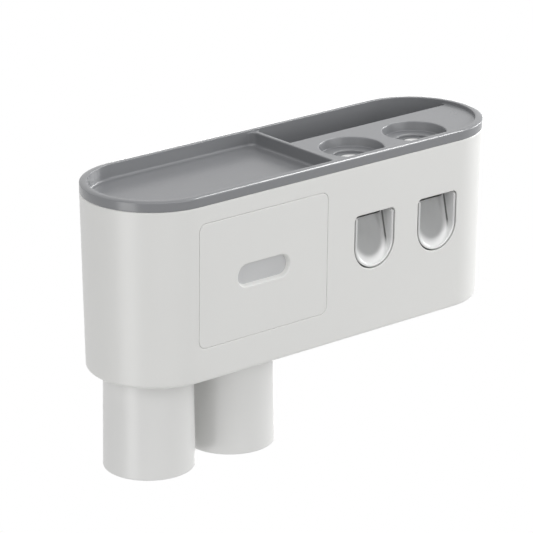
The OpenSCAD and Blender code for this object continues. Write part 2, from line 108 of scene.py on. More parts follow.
world = bpy.data.worlds.new("studio")
bpy.context.scene.world = world
world.use_nodes = True
air = world.node_tree
path = air.nodes.new("ShaderNodeLightPath")
seen = path.outputs["Is Camera Ray"]
for other in ("Is Glossy Ray", "Is Transmission Ray"):
    either = air.nodes.new("ShaderNodeMath")
    either.operation = "MAXIMUM"
    air.links.new(seen, either.inputs[0])
    air.links.new(path.outputs[other], either.inputs[1])
    seen = either.outputs[0]
strength = air.nodes.new("ShaderNodeMapRange")
strength.inputs["To Min"].default_value = AIR_STRENGTH
air.links.new(seen, strength.inputs["Value"])
air.links.new(strength.outputs["Result"], air.nodes["Background"].inputs["Strength"])
air.nodes["Background"].inputs["Color"].default_value = (1, 1, 1, 1)


# White shell
# One deep moulding in white satin ABS, open on top under the tray: drafted walls on an obround
# plan, two U windows and the drawer's opening in front, keyholes in the back, and two round
# sockets for the cups in the floor.

# From here on, lengths are in millimetres, and MM turns them into the frame's metres.
MM = 0.001


class Wire:
    """A value in a material. Arithmetic on it adds Math nodes to that material."""

    def __init__(self, finish, socket):
        self.finish, self.socket = finish, socket

    def __add__(self, other):
        return self.finish.math("ADD", self, other)

    def __sub__(self, other):
        return self.finish.math("SUBTRACT", self, other)

    def __mul__(self, other):
        return self.finish.math("MULTIPLY", self, other)


class Finish:
    """A plastic, metal or rubber as a node material on one Principled surface."""

    def __init__(self, name, **constants):
        self.material = bpy.data.materials.new(name)
        self.material.use_nodes = True
        self.tree = self.material.node_tree
        self.surface = self.tree.nodes["Principled BSDF"]
        for socket, value in constants.items():
            self.surface.inputs[socket.replace("_", " ")].default_value = value
        self.place = self.node("TexCoord", {}, output="Object")

    def put(self, socket, value):
        """Links a Wire to a socket, or sets the socket to a plain value."""
        if isinstance(value, Wire):
            self.tree.links.new(value.socket, socket)
        else:
            socket.default_value = value

    def node(self, kind, settings, *values, output=0, **named):
        """Adds a node: settings first, then its sockets in order or by name."""
        made = self.tree.nodes.new("ShaderNode" + kind)
        for setting, value in settings.items():
            setattr(made, setting, value)
        for socket, value in zip(made.inputs, values):
            self.put(socket, value)
        for socket, value in named.items():
            self.put(made.inputs[socket.replace("_", " ")], value)
        return Wire(self, made.outputs[output])

    def math(self, operation, *values):
        """One Math node, for what the operators of Wire don't do."""
        return self.node("Math", {"operation": operation}, *values)

    def ramp(self, value, low_mm, high_mm):
        """Goes from 0 at low to 1 at high with a level start and end."""
        return self.node("MapRange", {"interpolation_type": "SMOOTHSTEP"}, value,
                         low_mm * MM, high_mm * MM)

    def noise(self, size_mm, detail=2.0, stretch=(1, 1, 1)):
        """Cloudy pattern whose lumps are about size_mm across, from 0 to 1."""
        place = self.node("Mapping", {}, self.place, Scale=stretch)
        return self.node("TexNoise", {}, Vector=place, Scale=1 / (size_mm * MM), Detail=detail)

    def blend(self, share, first, second):
        """Colour that goes from first to second as share goes from 0 to 1. A Mix node has its two
        colours in sockets 6 and 7 and its mixed colour in output 2."""
        made = self.tree.nodes.new("ShaderNodeMix")
        made.data_type = "RGBA"
        self.put(made.inputs[0], share)
        for key, value in ((6, first), (7, second)):
            self.put(made.inputs[key], value if isinstance(value, Wire) else (*value, 1))
        return Wire(self, made.outputs[2])

    def color(self, value):
        """Sets the colour of the surface."""
        self.put(self.surface.inputs["Base Color"], value)

    def roughness(self, value):
        """Sets the roughness, and keeps it, so that a later call can build on it."""
        self.rough = value
        self.put(self.surface.inputs["Roughness"], value)

    def uneven(self, size_mm, least, most, stretch=(1, 1, 1)):
        """Roughness that wanders between least and most in lumps of size_mm."""
        self.roughness(self.noise(size_mm, stretch=stretch) * (most - least) + least)

    def bump(self, height, depth_mm):
        """Raises the surface by depth_mm where height is 1."""
        bumped = self.node("Bump", {}, Height=height, Distance=depth_mm * MM, output="Normal")
        self.put(self.surface.inputs["Normal"], bumped)


CLOUD, SHEEN, GRAIN, COARSE_GRAIN = 38.0, 9.0, 0.6, 1.9
SHEEN_SWING, GRAIN_SHARE = 0.04, 0.6


def satin_plastic(name, color, darker, roughness, spark_mm):
    """Moulded plastic: cloudy colour, uneven sheen and the fine texture of a spark-eroded mould."""
    made = Finish(name)
    made.color(made.blend(made.noise(CLOUD), color, darker))
    made.uneven(SHEEN, roughness - SHEEN_SWING, roughness + SHEEN_SWING)
    grain = made.noise(GRAIN, 1.0) * GRAIN_SHARE + made.noise(COARSE_GRAIN, 1.0) * (1 - GRAIN_SHARE)
    made.bump(grain, spark_mm)
    return made


white_plastic = satin_plastic("white_plastic", (0.80, 0.80, 0.785), (0.785, 0.785, 0.77),
                              0.36, 0.012)


def box_of(node):
    """Lowest and highest corner of a CAD node in millimetres, as two rows."""
    return np.array(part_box(node)) / MM


def middle_x(node):
    """Place of a CAD node's middle along the wall in millimetres."""
    low, high = box_of(node)
    return (low[0] + high[0]) / 2


tray_low, tray_high = box_of("top_tray")
HALF_DEPTH = (tray_high[1] - tray_low[1]) / 2
MID_Y = (tray_high[1] + tray_low[1]) / 2
FRONT_Y = tray_low[1]
BACK_Y = tray_high[1]
ARC_X = tray_high[0] - HALF_DEPTH
TOP_Z = tray_high[2]
FLOOR_Z, SHELL_Z = box_of("housing")[:, 2]
WALL = 2.6
DRAFT = 1.8
FOOT_ROUND = 2.4
LIP_ROUND = 0.5
TOP_ROUND = 0.8
END_STEPS = 64
# Width of the narrow strip beside a round edge, which keeps the edge's shading off the flat.
SUPPORT = 0.6


def lean(z):
    """How far the walls have leant in at height z, in a straight line from the rim to the floor."""
    return DRAFT * (SHELL_Z - z) / (SHELL_Z - FLOOR_Z)


def arcs(*parts):
    """Outline family: outline(inset) lies on arcs about fixed centres with radius - inset, joined
    by straight lines. A part is (x, y, radius, first angle, last angle, steps); a hollow corner has
    a negative radius, so that it grows with the inset."""
    def outline(inset=0.0):
        rows = []
        for x, y, radius, first, last, steps in parts:
            turn = np.radians(np.linspace(first, last, steps + 1))
            rows.append(np.c_[x + (radius - inset) * np.cos(turn),
                              y + (radius - inset) * np.sin(turn)])
        return np.vstack(rows)
    return outline


def circle(x, y, radius, steps=96):
    """Round outline family; its last point stops one step short of the first."""
    return arcs((x, y, radius, 0, 360 - 360 / steps, steps - 1))


def round_rect(x, y, width, height, radius, steps=8):
    """Rectangle with four round corners, as an outline family."""
    w, h = width / 2 - radius, height / 2 - radius
    return arcs((x + w, y + h, radius, 0, 90, steps), (x - w, y + h, radius, 90, 180, steps),
                (x - w, y - h, radius, 180, 270, steps), (x + w, y - h, radius, 270, 360, steps))


def obround(x, y, width, height, steps=24):
    """Two half circles joined by straight sides, as an outline family."""
    reach = (width - height) / 2
    return arcs((x + reach, y, height / 2, -90, 90, steps),
                (x - reach, y, height / 2, 90, 270, steps))


def bend(across, up, radius, first, last, steps=4):
    """Round edge in a profile: points on an arc about (across, up), as a list of pairs."""
    turn = np.radians(np.linspace(first, last, steps + 1))
    return np.c_[across + radius * np.cos(turn), up + radius * np.sin(turn)].tolist()


def sheet(rows, wrap=True, close=False):
    """Points and quads of a grid given as equal rows of points; wrap joins its last column to its
    first, and close its last row to its first."""
    count, width = len(rows), len(rows[0])
    index = np.arange(count * width).reshape(count, width)
    if wrap:
        index = np.c_[index, index[:, :1]]
    if close:
        index = np.vstack([index, index[:1]])
    quads = np.stack([index[:-1, :-1], index[:-1, 1:], index[1:, 1:], index[1:, :-1]], -1)
    return np.vstack(rows), quads.reshape(-1, 4).tolist()


def level(spots, z):
    """Flat outline points lifted to height z."""
    return np.c_[spots, np.full(len(spots), z)]


def carried(outline, profile, close=False):
    """A profile of (inset, z) carried round an outline: row k is outline(inset_k) at height z_k."""
    return sheet([level(outline(inset), z) for inset, z in profile], close=close)


def turned(x, y, profile, steps=96):
    """A profile of (radius, z) turned about the upright axis through (x, y)."""
    return sheet([level(circle(x, y, radius, steps)(), z) for radius, z in profile])


def inside(loop, points):
    """Which points lie inside a closed loop, by counting the sides that a ray crosses."""
    a, b = loop, np.roll(loop, -1, 0)
    x, y = points[:, :1], points[:, 1:2]
    crosses = (a[:, 1] > y) != (b[:, 1] > y)
    rise = np.where(b[:, 1] == a[:, 1], 1, b[:, 1] - a[:, 1])
    reach = a[:, 0] + (y - a[:, 1]) * (b[:, 0] - a[:, 0]) / rise
    return (crosses & (x < reach)).sum(1) % 2 == 1


SAME_SPOT = 1e-7


def filled(loops, place):
    """Sheet inside the first loop and outside the others, in triangles between their points.
    place turns its flat points into points in space."""
    edges, start = [], 0
    for loop in loops:
        ring = np.arange(start, start + len(loop))
        edges += np.c_[ring, np.roll(ring, -1)].tolist()
        start += len(loop)
    flat = [tuple(p) for p in np.vstack(loops)]
    found, _, faces, *_ = delaunay_2d_cdt(flat, edges, [], 1, SAME_SPOT)
    found, faces = np.array([tuple(p) for p in found]), np.array(faces)
    middle = found[faces].mean(1)
    keep = inside(loops[0], middle)
    for hole in loops[1:]:
        keep &= ~inside(hole, middle)
    return place(found), faces[keep].tolist()


def cap(z, *loops):
    """Level sheet at height z inside the first loop and outside the others."""
    return filled(loops, lambda spots: level(spots, z))


MERGE, SLIVER = 0.002, 0.0005


def closed(*surfaces):
    """Joins surfaces in millimetres into one closed solid that faces outwards."""
    work = bmesh.new()
    for spots, cells in surfaces:
        corners = [work.verts.new(spot) for spot in spots]
        for cell in cells:
            work.faces.new([corners[v] for v in cell])
    bmesh.ops.remove_doubles(work, verts=work.verts, dist=MERGE)
    bmesh.ops.dissolve_degenerate(work, edges=work.edges, dist=SLIVER)
    bmesh.ops.recalc_face_normals(work, faces=work.faces)
    work.verts.index_update()
    spots = np.array([v.co for v in work.verts])
    cells = [[v.index for v in face.verts] for face in work.faces]
    work.free()
    return spots, cells


SHARP = math.radians(35)


def piece(name, solids, finish, slot, body, *nodes):
    """Puts closed solids into one mesh, in metres, hangs it on its body and hides its CAD nodes."""
    faces, start = [], 0
    for spots, cells in solids:
        faces += [[start + v for v in cell] for cell in cells]
        start += len(spots)
    mesh = bpy.data.meshes.new(name)
    mesh.from_pydata((np.vstack([spots for spots, _ in solids]) * MM).tolist(), [], faces)
    mesh.polygons.foreach_set("use_smooth", [True] * len(mesh.polygons))
    mesh.set_sharp_from_angle(angle=SHARP)
    mesh.materials.append(finish.material)
    made = bpy.data.objects.new(name, mesh)
    bpy.context.scene.collection.objects.link(made)
    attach(made, body)
    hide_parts(*nodes)
    return made


plan = arcs((ARC_X, MID_Y, HALF_DEPTH, -90, 90, END_STEPS),
            (-ARC_X, MID_Y, HALF_DEPTH, 90, 270, END_STEPS))


def reach_at(x, z, depth):
    """Half the body's depth at x and height z: the radius of the round ends, which falls away as a
    circle does past the middle of a round end."""
    radius = HALF_DEPTH - lean(z) - depth
    return np.sqrt(radius ** 2 - np.maximum(abs(x) - ARC_X, 0) ** 2)


def on_front(spots, depth=0.0):
    """Points of (x, z) set on the leaning front, or a depth behind it."""
    return np.c_[spots[:, 0], MID_Y - reach_at(spots[:, 0], spots[:, 1], depth), spots[:, 1]]


def on_back(spots, depth=0.0):
    """Points of (x, z) set on the leaning back, or a depth inside it."""
    return np.c_[spots[:, 0], MID_Y + reach_at(spots[:, 0], spots[:, 1], depth), spots[:, 1]]


WINDOW_XS = [middle_x("push_scoop_left"), middle_x("push_scoop_right")]
WINDOW_HALF = 16.7
WINDOW_TOP = TOP_Z - 38.9
WINDOW_LOW = WINDOW_TOP - 37.2
WINDOW_ARC = WINDOW_LOW + WINDOW_HALF
WINDOW_CORNER = 3.5


def window(x):
    """U-shaped outline family: a half circle below and two small corners above."""
    side = WINDOW_HALF - WINDOW_CORNER
    return arcs((x + side, WINDOW_TOP - WINDOW_CORNER, WINDOW_CORNER, 0, 90, 8),
                (x - side, WINDOW_TOP - WINDOW_CORNER, WINDOW_CORNER, 90, 180, 8),
                (x, WINDOW_ARC, WINDOW_HALF, 180, 360, 48))


face_low, face_high = box_of("drawer_front")
FACE_X, FACE_Z = (face_low[0] + face_high[0]) / 2, (face_low[2] + face_high[2]) / 2
FACE_SPARE = 0.28
FACE_W = face_high[0] - face_low[0] + 2 * FACE_SPARE
FACE_H = face_high[2] - face_low[2] + 2 * FACE_SPARE
FACE_CORNER = 5.0
FACE_GAP = 0.12
drawer_opening = round_rect(FACE_X, FACE_Z, FACE_W + 2 * FACE_GAP, FACE_H + 2 * FACE_GAP,
                            FACE_CORNER + FACE_GAP)
HOOK_X, HOOK_Z, LIFT = 60.0, 1.5, 14.0
KEY_SLOT, KEY_EYE = 3.4, 5.9


def keyhole(x):
    """Keyhole outline family: a round eye below, and a narrow slot with a round top above it."""
    def outline(inset=0.0):
        slot, eye = KEY_SLOT - inset, KEY_EYE - inset
        turn = math.degrees(math.acos(slot / eye))
        return np.vstack([arcs((x, HOOK_Z, slot, 0, 180, 16))(),
                          arcs((x, HOOK_Z - LIFT, eye, 180 - turn, 360 + turn, 36))()])
    return outline


front_holes = [window(x) for x in WINDOW_XS] + [drawer_opening]
back_holes = [keyhole(-HOOK_X), keyhole(HOOK_X)]


def wall_rows(depth, z0, z1):
    """The two round ends of the wall between two heights, at a depth, less a step on each side."""
    rows = [level(plan(lean(z) + depth), z) for z in (z0, z1)]
    ends = slice(1, END_STEPS), slice(END_STEPS + 2, 2 * END_STEPS + 1)
    return [sheet([row[end] for row in rows], wrap=False) for end in ends]


def wall_flats(depth, grow, z0, z1):
    """The front and back of the wall between two heights, at a depth, with their holes. They reach
    one step into the round ends, because the drawer's opening does."""
    border = []
    for z, way in ((z0, 1), (z1, -1)):
        past = (HALF_DEPTH - lean(z) - depth) * math.sin(math.pi / END_STEPS)
        border += [(way * x, z) for x in (-ARC_X - past, -ARC_X, ARC_X, ARC_X + past)]
    border = np.array(border)
    front = filled([border] + [hole(-grow) for hole in front_holes], lambda s: on_front(s, depth))
    back = filled([border] + [hole(-grow) for hole in back_holes], lambda s: on_back(s, depth))
    return [front, back]


def hole_lip(hole, place):
    """Rounded edge of a hole in the wall and its straight flank through the wall."""
    profile = [(LIP_ROUND + SUPPORT, 0)] + bend(LIP_ROUND, LIP_ROUND, LIP_ROUND, 270, 180)
    profile += [(0, WALL)]
    return sheet([place(hole(-grow), depth) for grow, depth in profile])


low_z, high_z = FLOOR_Z + FOOT_ROUND + SUPPORT, SHELL_Z - TOP_ROUND - SUPPORT
inner_z = FLOOR_Z + WALL
shell = wall_rows(0, low_z, high_z) + wall_flats(0, LIP_ROUND + SUPPORT, low_z, high_z)
shell += wall_rows(WALL, inner_z, SHELL_Z) + wall_flats(WALL, 0, inner_z, SHELL_Z)
shell += [hole_lip(hole, on_front) for hole in front_holes]
shell += [hole_lip(hole, on_back) for hole in back_holes]
top_edge = [(0, high_z)] + bend(TOP_ROUND, SHELL_Z - TOP_ROUND, TOP_ROUND, 180, 90)
top_edge += [(WALL, SHELL_Z)]
foot_edge = [(0, low_z)] + bend(FOOT_ROUND, FLOOR_Z + FOOT_ROUND, FOOT_ROUND, 180, 270, 8)
foot_edge += [(FOOT_ROUND + SUPPORT, FLOOR_Z)]
shell += [carried(plan, [(lean(z) + depth, z) for depth, z in edge])
          for edge in (top_edge, foot_edge)]

CUP_XS = [middle_x("cup_left"), middle_x("cup_right")]
SOCKET, SOCKET_WALL, SOCKET_DEPTH, CEILING = 28.4, 2.0, 14.0, 2.0
MAGNET_POCKET, MAGNET_RING, MAGNET_DEPTH = 9.1, 11.5, 2.5
socket_edge = LIP_ROUND + SUPPORT
shell.append(cap(FLOOR_Z, plan(lean(FLOOR_Z) + FOOT_ROUND + SUPPORT),
                 *[circle(x, MID_Y, SOCKET + socket_edge)() for x in CUP_XS]))
shell.append(cap(inner_z, plan(lean(inner_z) + WALL),
                 *[circle(x, MID_Y, SOCKET + SOCKET_WALL)() for x in CUP_XS]))
ceiling = FLOOR_Z + SOCKET_DEPTH
roof = ceiling + CEILING
for x in CUP_XS:
    mouth = [(SOCKET + socket_edge, FLOOR_Z)]
    mouth += bend(SOCKET + LIP_ROUND, FLOOR_Z + LIP_ROUND, LIP_ROUND, 270, 180)
    shell.append(turned(x, MID_Y, mouth + [(SOCKET, ceiling), (0, ceiling)]))
    shell.append(turned(x, MID_Y, [
        (SOCKET + SOCKET_WALL, inner_z), (SOCKET + SOCKET_WALL, roof),
        (MAGNET_RING, roof), (MAGNET_RING, roof + MAGNET_DEPTH),
        (MAGNET_POCKET, roof + MAGNET_DEPTH), (MAGNET_POCKET, roof), (0, roof)]))


def turned_across(x, z, profile, steps=64):
    """A profile of (radius, y) turned about the axis through (x, z) that points into the wall."""
    return sheet([circle(x, z, radius, steps)() @ np.array([[1, 0, 0], [0, 0, 1]]) + [0, y, 0]
                  for radius, y in profile])


BUMPER_X, BUMPER_Z, BUMPER = 90.0, FLOOR_Z + 14, 6.0
BOSS, BOSS_ROUND, BOSS_SINK = BUMPER + 1, 0.4, WALL - 0.5
boss_start = BACK_Y - DRAFT - BOSS_SINK
boss = [(0, boss_start), (BOSS, boss_start)]
boss += bend(BOSS - BOSS_ROUND, BACK_Y - BOSS_ROUND, BOSS_ROUND, 0, 90) + [(0, BACK_Y)]
bosses = [closed(turned_across(side * BUMPER_X, BUMPER_Z, boss)) for side in (-1, 1)]
piece("shell", [closed(*shell)] + bosses, white_plastic, "white_shell", "housing", "housing")


# Grey tray
# A lid moulded in one piece of grey satin ABS: a rounded rim, the storage pan, a divider, the
# platform with two stepped seats for inverted tubes, and the deep slot along the back.
grey_plastic = satin_plastic("grey_plastic", (0.235, 0.24, 0.25), (0.225, 0.23, 0.24), 0.25, 0.012)
POLISH_FROM, POLISH_TO, POLISH = TOP_Z - 1.3, TOP_Z - 0.7, 0.1
height = grey_plastic.node("SeparateXYZ", {}, grey_plastic.place, output="Z")
polished = grey_plastic.node("MapRange", {}, height, POLISH_FROM * MM, POLISH_TO * MM)
grey_plastic.roughness(grey_plastic.rough - polished * POLISH)
RIM_W = 4.8
RIM_ROUND, RIM_INNER_ROUND, RIM_FOOT_ROUND = 0.6, 0.4, 0.35
CREST_AT, CREST_TILT = 3.3, math.radians(20)
SKIRT = WALL + 0.3
TRAY_LOW = TOP_Z - 11.7
# From its outer round the rim's crest rises at CREST_TILT and levels out at CREST_AT: it lies below
# the top by crest_drop times the square of the share of the way that is left.
crest_start = RIM_ROUND * (1 - math.sin(CREST_TILT))
crest_drop = math.tan(CREST_TILT) * (CREST_AT - crest_start) / 2
across = np.linspace(crest_start, CREST_AT, 8)[1:]
crest = TOP_Z - crest_drop * ((CREST_AT - across) / (CREST_AT - crest_start)) ** 2
rim = bend(RIM_FOOT_ROUND, SHELL_Z + RIM_FOOT_ROUND, RIM_FOOT_ROUND, 270, 180)
rim_bend_z = TOP_Z - crest_drop - RIM_ROUND * math.cos(CREST_TILT)
rim += [(0, rim_bend_z - SUPPORT)]
rim += bend(RIM_ROUND, rim_bend_z, RIM_ROUND, 180, 90 + math.degrees(CREST_TILT), 6)
rim += np.c_[across, crest].tolist()
rim += bend(RIM_W - RIM_INNER_ROUND, TOP_Z - RIM_INNER_ROUND, RIM_INNER_ROUND, 90, 0)
rim += [(RIM_W, TRAY_LOW), (SKIRT, TRAY_LOW), (SKIRT, SHELL_Z)]
tray = [closed(carried(plan, rim, close=True))]

# How far the pan and the divider run into the rim.
BURIED = 1.0
INNER = HALF_DEPTH - RIM_W
PAN_Z = TOP_Z - 9.7
DIVIDER_X0, DIVIDER_X1 = 4.8, 7.8
DIVIDER_TOP = TOP_Z - 1.0
PAN_CORNER, BAY_CORNER = 5.0, 2.5
PAN_ROUND = 1.6
pan = arcs((DIVIDER_X0 - PAN_CORNER, MID_Y - INNER + PAN_CORNER, PAN_CORNER, -90, 0, 10),
           (DIVIDER_X0 - PAN_CORNER, MID_Y + INNER - PAN_CORNER, PAN_CORNER, 0, 90, 10),
           (-ARC_X, MID_Y, INNER, 90, 270, END_STEPS))
dish = [(-BURIED, TRAY_LOW), (-BURIED, PAN_Z + PAN_ROUND)]
dish += bend(PAN_ROUND, PAN_Z + PAN_ROUND, PAN_ROUND, 180, 270, 5)
dish += [(PAN_ROUND + SUPPORT, PAN_Z)]
tray.append(closed(carried(pan, dish), cap(PAN_Z, pan(PAN_ROUND + SUPPORT)),
                   cap(TRAY_LOW, pan(-BURIED))))

DIVIDER_ROUND = 0.7
wall_front, wall_back = MID_Y - INNER, MID_Y + INNER
divider = arcs((DIVIDER_X1 + BAY_CORNER, wall_back - BAY_CORNER, -BAY_CORNER, 0, -90, 8),
               (DIVIDER_X1 + BAY_CORNER, wall_back + BURIED, BURIED, -90, 90, 4),
               (DIVIDER_X0 - PAN_CORNER, wall_back + BURIED, BURIED, 90, 270, 4),
               (DIVIDER_X0 - PAN_CORNER, wall_back - PAN_CORNER, -PAN_CORNER, 270, 180, 10),
               (DIVIDER_X0 - PAN_CORNER, wall_front + PAN_CORNER, -PAN_CORNER, 180, 90, 10),
               (DIVIDER_X0 - PAN_CORNER, wall_front - BURIED, BURIED, 90, 270, 4),
               (DIVIDER_X1 + BAY_CORNER, wall_front - BURIED, BURIED, -90, 90, 4),
               (DIVIDER_X1 + BAY_CORNER, wall_front + BAY_CORNER, -BAY_CORNER, 90, 0, 8))
ridge = [(0, TRAY_LOW), (0, DIVIDER_TOP - DIVIDER_ROUND - SUPPORT)]
ridge += bend(DIVIDER_ROUND, DIVIDER_TOP - DIVIDER_ROUND, DIVIDER_ROUND, 180, 90)
tray.append(closed(carried(divider, ridge), cap(DIVIDER_TOP, divider(DIVIDER_ROUND)),
                   cap(TRAY_LOW, divider())))

PLATFORM_Z = TOP_Z - 2.0
DECK_ROUND, DECK_FLAT, DECK_CORNER = 0.6, 0.8, 1.0
DECK_REACH = RIM_W - SKIRT
SLOT_Y = MID_Y + 9.3
# The deck's outline runs inside the rim, and ends TIP_SPARE degrees short of the slot's tip.
SLOT_TIP, TIP_SPARE = 3.5, 2
tip_y = SLOT_Y + SLOT_TIP
reach = math.sqrt((INNER - SLOT_TIP) ** 2 - (tip_y - MID_Y) ** 2)
tip_x = ARC_X + reach
tip_turn = math.degrees(math.atan2(tip_y - MID_Y, reach))
deck_y = wall_front - DECK_REACH + DECK_CORNER
platform = arcs((DIVIDER_X1, deck_y, DECK_CORNER, 180, 270, 4),
                (ARC_X, MID_Y, INNER + DECK_REACH, -90, tip_turn - TIP_SPARE, END_STEPS),
                (tip_x, tip_y, -SLOT_TIP, tip_turn + 180, 90, 8),
                (DIVIDER_X1, SLOT_Y - DECK_CORNER, DECK_CORNER, 90, 180, 4))
SEAT_Y = MID_Y - 21.3
SEAT_FRONT, SEAT_FRONT_LEAN = wall_front - 0.4, 0.02
SEAT, SEAT_FOOT, SEAT_EDGE, SEAT_ROUND, SEAT_DRAFT = 21.2, 18.9, 0.8, 0.6, 9
SEAT_Z = PLATFORM_Z - 5.8
STEP, STEP_Z, STEP_EDGE = 11.4, SEAT_Z - 1.6, 0.8
SEAL, SEAL_GAP = 8.0, 0.1
# A seat from the platform down: round edge, drafted wall, floor, step and the bore for the seal.
seat = [(SEAT + SUPPORT, PLATFORM_Z)]
seat += bend(SEAT, PLATFORM_Z - SEAT_EDGE, SEAT_EDGE, 90, 180 - SEAT_DRAFT, 5)
seat += bend(SEAT_FOOT, SEAT_Z + SEAT_ROUND, SEAT_ROUND, -SEAT_DRAFT, -90, 5)
seat += bend(STEP + STEP_EDGE, SEAT_Z - STEP_EDGE, STEP_EDGE, 90, 180, 3)
seat += [(STEP, STEP_Z), (SEAL + SEAL_GAP, STEP_Z), (SEAL + SEAL_GAP, TRAY_LOW)]
deck = [(0, TRAY_LOW)] + bend(DECK_ROUND, PLATFORM_Z - DECK_ROUND, DECK_ROUND, 180, 90, 4)
deck += [(DECK_FLAT, PLATFORM_Z)]


def seat_ring(x, radius):
    """Circle about a seat's middle, cut straight where it would run under the rim. The cut lies
    further back by a small share of what the radius is short of the seat's own."""
    spots = circle(x, SEAT_Y, radius)()
    spots[:, 1] = np.maximum(spots[:, 1], SEAT_FRONT + SEAT_FRONT_LEAN * (SEAT - radius))
    return spots


tray.append(closed(
    carried(platform, deck),
    cap(PLATFORM_Z, platform(DECK_FLAT), *[seat_ring(x, seat[0][0]) for x in WINDOW_XS]),
    cap(TRAY_LOW, platform(), *[seat_ring(x, seat[-1][0]) for x in WINDOW_XS]),
    *[sheet([level(seat_ring(x, radius), z) for radius, z in seat]) for x in WINDOW_XS]))

SLOT_CORNER, SLOT_SHEET, SLOT_FLOOR, SLOT_BEVEL = 0.6, 1.2, 1.5, 0.5
tank_low = tray_low[2]
slot_low = tank_low + SLOT_FLOOR
slot = arcs((tip_x, tip_y, SLOT_TIP, -90, tip_turn, 8),
            (ARC_X, MID_Y, INNER, tip_turn, 90, END_STEPS),
            (DIVIDER_X1 + BAY_CORNER, MID_Y + INNER - BAY_CORNER, BAY_CORNER, 90, 180, 8),
            (DIVIDER_X1 + SLOT_CORNER, SLOT_Y + SLOT_CORNER, SLOT_CORNER, 180, 270, 5))
tank = [(-SLOT_SHEET, tank_low), (-SLOT_SHEET, TRAY_LOW), (0, TRAY_LOW),
        (0, slot_low + SLOT_BEVEL), (SLOT_BEVEL, slot_low)]
tray.append(closed(carried(slot, tank), cap(slot_low, slot(SLOT_BEVEL)),
                   cap(tank_low, slot(-SLOT_SHEET))))
piece("tray", tray, grey_plastic, "grey_tray", "housing", "top_tray")


# Inlet seals
# A ring of white silicone in the foot of each seat, pressed in from above; the tube's nozzle
# pushes through its middle.
silicone = satin_plastic("silicone", (0.86, 0.86, 0.85), (0.84, 0.84, 0.83), 0.5, 0.006)
INLET, INLET_ROUND = 3.0, 0.4
SEAL_ROUND = 0.8
ring = [(INLET, TRAY_LOW), (SEAL, TRAY_LOW), (SEAL, STEP_Z - SEAL_ROUND)]
ring += bend(SEAL - SEAL_ROUND, STEP_Z - SEAL_ROUND, SEAL_ROUND, 0, 90)
ring += bend(INLET + INLET_ROUND, STEP_Z - INLET_ROUND, INLET_ROUND, 90, 180)
for side, x in zip(("left", "right"), WINDOW_XS):
    seal = closed(turned(x, SEAT_Y, ring + ring[:1]))
    piece("seal_" + side, [seal], silicone, "silicone", "housing", "inlet_seal_" + side)


# Drawer
# The face is a thick white plate, flush with the shell all over, with a round-ended finger pull
# sunk into it. A plain box slides in behind it.
FACE_T, FACE_EDGE = 4.0, 0.5
PULL_W, PULL_H, PULL_DEPTH, PULL_T = 40.9, 14.5, 9.0, 1.6
PULL_EDGE, PULL_ROUND, PULL_DRAFT = 0.8, 4.6, 1.0
face = round_rect(FACE_X, FACE_Z, FACE_W, FACE_H, FACE_CORNER)
pull = obround(FACE_X, FACE_Z, PULL_W, PULL_H)


def upright(y):
    """Puts flat points of (x, z) on the upright plane at y."""
    return lambda spots: np.c_[spots[:, 0], np.full(len(spots), y), spots[:, 1]]


face_side = [(FACE_EDGE + SUPPORT, 0)] + bend(FACE_EDGE, FACE_EDGE, FACE_EDGE, 270, 180)
pull_edge = [(-PULL_EDGE - SUPPORT, 0)] + bend(-PULL_EDGE, PULL_EDGE, PULL_EDGE, 270, 360)
pull_foot = bend(PULL_DRAFT + PULL_ROUND, PULL_DEPTH - PULL_ROUND, PULL_ROUND, 180, 90, 6)
face_back, pull_back = FRONT_Y + FACE_T, FRONT_Y + PULL_DEPTH + PULL_T
face_solid = closed(
    filled([face(FACE_EDGE + SUPPORT), pull(-PULL_EDGE - SUPPORT)], on_front),
    sheet([on_front(face(inset), depth) for inset, depth in face_side]
          + [upright(face_back)(face())]),
    filled([face(), pull(-PULL_T)], upright(face_back)),
    sheet([upright(y)(pull(-PULL_T)) for y in (face_back, pull_back)]),
    filled([pull(-PULL_T)], upright(pull_back)),
    sheet([on_front(pull(inset), depth) for inset, depth in pull_edge]
          + [upright(FRONT_Y + depth)(pull(inset)) for inset, depth in pull_foot]),
    filled([pull(PULL_DRAFT + PULL_ROUND)], upright(FRONT_Y + PULL_DEPTH)))
piece("drawer_face", [face_solid], white_plastic, "white_shell", "drawer", "drawer_front")

inner_plastic = satin_plastic("inner_plastic", (0.62, 0.625, 0.63), (0.60, 0.605, 0.61), 0.45, 0.01)
box_low, box_high = box_of("drawer_box")
BOX_T, BOX_CORNER, BOX_FOOT, BOX_LIP, BOX_ROUND = 1.8, 3.0, 1.4, 0.7, 1.0
box_middle, box_size = (box_low + box_high) / 2, box_high - box_low
box = round_rect(box_middle[0], box_middle[1], box_size[0], box_size[1], BOX_CORNER)
floor_z = box_low[2] + BOX_T
walls = bend(BOX_FOOT, box_low[2] + BOX_FOOT, BOX_FOOT, 270, 180)
walls += [(0, box_high[2] - BOX_LIP - SUPPORT)]
walls += bend(BOX_LIP, box_high[2] - BOX_LIP, BOX_LIP, 180, 90)
walls += bend(BOX_T - BOX_LIP, box_high[2] - BOX_LIP, BOX_LIP, 90, 0)
walls += [(BOX_T, floor_z + BOX_ROUND + SUPPORT)]
walls += bend(BOX_T + BOX_ROUND, floor_z + BOX_ROUND, BOX_ROUND, 180, 270)
box_solid = closed(carried(box, walls), cap(floor_z, box(BOX_T + BOX_ROUND)),
                   cap(box_low[2], box(BOX_FOOT)))
piece("drawer_box", [box_solid], inner_plastic, "inner_plastic", "drawer", "drawer_box")


